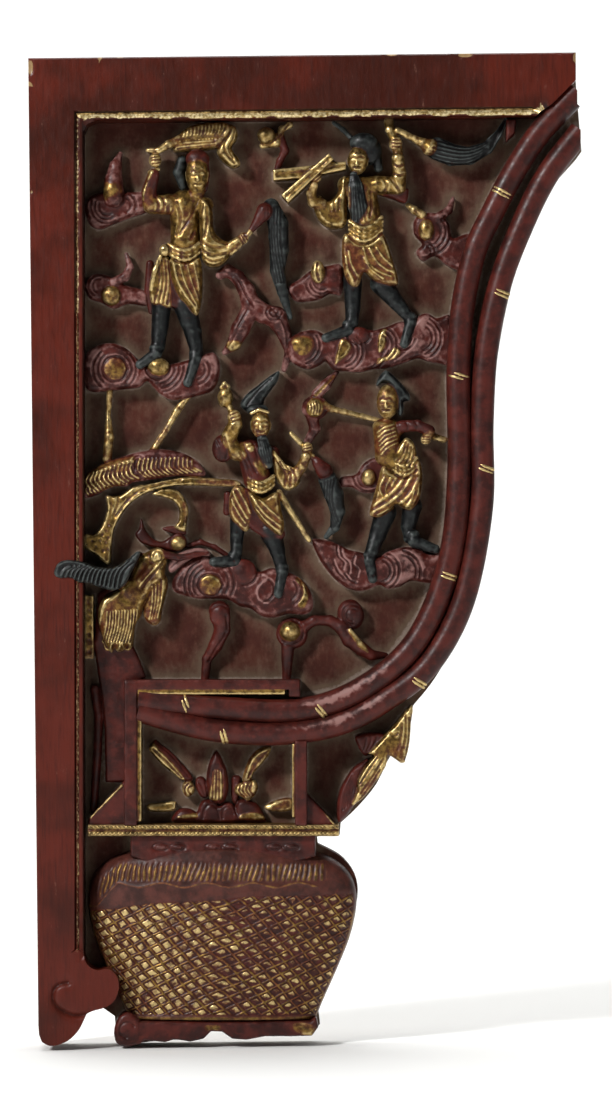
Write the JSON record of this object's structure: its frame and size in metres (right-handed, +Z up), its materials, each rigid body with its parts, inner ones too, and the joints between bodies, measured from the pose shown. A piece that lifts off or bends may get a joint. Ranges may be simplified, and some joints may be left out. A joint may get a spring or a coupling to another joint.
{
  "type": "carved corner bracket",
  "caption": "Tall lacquered wooden corner bracket, carved in relief with figures among clouds, bamboo rods, a flower tray and a lattice pot.",
  "frame": {"origin": "on the flat post face, at its mid height and at the board's mid thickness", "axes": "+Z up along the post, +X away from the post, the carved front looks along -Y"},
  "size_m": [0.255, 0.04, 0.456],
  "materials": {
    "lacquered_wood": "worn oxblood lacquer with worn gilding and blue-black paint over carved wood"
  },
  "bodies": {
    "root": {"carved_bracket": "lacquered_wood"}
  },
  "joints": []
}
